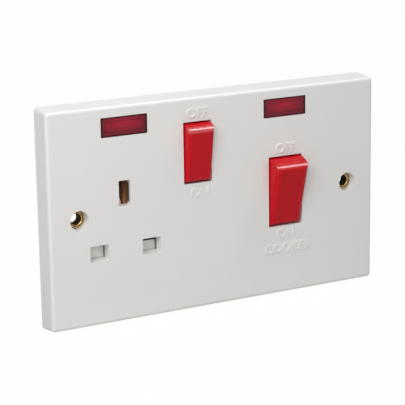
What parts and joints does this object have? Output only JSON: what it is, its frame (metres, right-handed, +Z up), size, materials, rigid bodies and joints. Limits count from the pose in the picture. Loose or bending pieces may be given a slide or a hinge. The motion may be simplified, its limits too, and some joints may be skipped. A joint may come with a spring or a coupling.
{
  "type": "cooker control unit",
  "caption": "White double-width wall plate with a red cooker isolator rocker, a switched three-pin socket, neon windows and a rear terminal housing.",
  "frame": {"origin": "midway between the two fixing eyelets, on the plane of their rear ends, where the plate seats on the lugs of its wall box", "axes": "+Z up, -Y out of the wall towards the user, +X to the right seen from the front"},
  "size_m": [0.146, 0.0387, 0.086],
  "materials": {
    "white_moulding": "smooth white thermoset moulding",
    "red_moulding": "smooth red moulding",
    "black_moulding": "dark matt moulding",
    "shutter_moulding": "natural nylon",
    "plunger_moulding": "natural nylon",
    "neon_lens": "clear red moulding",
    "lamp_glass": "clear glass",
    "brass": "machined and pressed brass",
    "copper_strip": "pressed copper alloy strip",
    "silver_contact": "silver alloy contact rivet",
    "steel": "zinc plated steel",
    "spring_steel": "drawn spring wire",
    "tinned_wire": "tinned copper wire",
    "resistor_body": "lacquered ceramic"
  },
  "bodies": {
    "plate": {"front_plate": "white_moulding", "rear_housing": "black_moulding", "housing_screws": "steel", "left_eyelet": "brass", "right_eyelet": "brass", "eyelet_earth_strap": "brass", "live_supply_terminal": "brass", "neutral_supply_terminal": "brass", "live_load_terminal": "brass", "neutral_load_terminal": "brass", "earth_terminal": "brass", "terminal_screws": "steel", "live_pin_contact": "copper_strip", "neutral_pin_contact": "copper_strip", "earth_pin_contact": "copper_strip", "socket_feed_link": "copper_strip", "shutter_spring": "spring_steel", "cooker_live_fixed_tip": "silver_contact", "cooker_neutral_fixed_tip": "silver_contact", "socket_fixed_tip": "silver_contact", "socket_neon_lens": "neon_lens", "socket_neon_holder": "white_moulding", "socket_neon_lamp": "lamp_glass", "socket_neon_leads": "tinned_wire", "socket_neon_resistor": "resistor_body", "cooker_neon_lens": "neon_lens", "cooker_neon_holder": "white_moulding", "cooker_neon_lamp": "lamp_glass", "cooker_neon_leads": "tinned_wire", "cooker_neon_resistor": "resistor_body"},
    "cooker_rocker": {"cooker_rocker": "red_moulding", "cooker_live_plunger_spring": "spring_steel", "cooker_neutral_plunger_spring": "spring_steel"},
    "socket_rocker": {"socket_rocker": "red_moulding", "socket_plunger_spring": "spring_steel"},
    "shutter": {"shutter": "shutter_moulding"},
    "cooker_live_plunger": {"cooker_live_plunger": "plunger_moulding"},
    "cooker_live_moving_contact": {"cooker_live_moving_contact": "copper_strip", "cooker_live_moving_tip": "silver_contact"},
    "cooker_neutral_plunger": {"cooker_neutral_plunger": "plunger_moulding"},
    "cooker_neutral_moving_contact": {"cooker_neutral_moving_contact": "copper_strip", "cooker_neutral_moving_tip": "silver_contact"},
    "socket_plunger": {"socket_plunger": "plunger_moulding"},
    "socket_moving_contact": {"socket_moving_contact": "copper_strip", "socket_moving_tip": "silver_contact"}
  },
  "joints": [
    {"name": "cooker_rocker_tilt", "type": "hinge", "parent": "plate", "child": "cooker_rocker", "pos_m": [0.03075, -0.0049, 0.0001], "axis": [-1, 0, 0], "range_deg": [0, 31]},
    {"name": "socket_rocker_tilt", "type": "hinge", "parent": "plate", "child": "socket_rocker", "pos_m": [-0.0092, -0.0049, 0.0204], "axis": [-1, 0, 0], "range_deg": [0, 18.4]},
    {"name": "cooker_live_plunger_slide", "type": "slide", "parent": "cooker_rocker", "child": "cooker_live_plunger", "axis": [0, -0.9636, -0.2672], "range_m": [0, 0.0012], "stiffness_N_per_m": 400, "springref_m": -0.002, "deforming": ["cooker_live_plunger_spring"]},
    {"name": "cooker_live_moving_contact_rock", "type": "hinge", "parent": "plate", "child": "cooker_live_moving_contact", "pos_m": [0.02705, 0.0075, 0.0001], "axis": [-1, 0, 0], "range_deg": [-18, 0]},
    {"name": "cooker_neutral_plunger_slide", "type": "slide", "parent": "cooker_rocker", "child": "cooker_neutral_plunger", "axis": [0, -0.9636, -0.2672], "range_m": [0, 0.0012], "stiffness_N_per_m": 400, "springref_m": -0.002, "deforming": ["cooker_neutral_plunger_spring"]},
    {"name": "cooker_neutral_moving_contact_rock", "type": "hinge", "parent": "plate", "child": "cooker_neutral_moving_contact", "pos_m": [0.03445, 0.0075, 0.0001], "axis": [-1, 0, 0], "range_deg": [-18, 0]},
    {"name": "socket_plunger_slide", "type": "slide", "parent": "socket_rocker", "child": "socket_plunger", "axis": [0, -0.9871, -0.1599], "range_m": [0, 0.0012], "stiffness_N_per_m": 400, "springref_m": -0.002, "deforming": ["socket_plunger_spring"]},
    {"name": "socket_moving_contact_rock", "type": "hinge", "parent": "plate", "child": "socket_moving_contact", "pos_m": [-0.0092, 0.0075, 0.0204], "axis": [-1, 0, 0], "range_deg": [-18, 0]},
    {"name": "shutter_slide", "type": "slide", "parent": "plate", "child": "shutter", "axis": [0, 0, -1], "range_m": [0, 0.0062], "stiffness_N_per_m": 90, "springref_m": -0.004, "deforming": ["shutter_spring"]}
  ],
  "couplings": [
    {"joint": "cooker_live_moving_contact_rock", "follows": "cooker_rocker_tilt", "ratio": -0.58064},
    {"joint": "cooker_neutral_moving_contact_rock", "follows": "cooker_rocker_tilt", "ratio": -0.58064},
    {"joint": "socket_moving_contact_rock", "follows": "socket_rocker_tilt", "ratio": -0.97826}
  ]
}
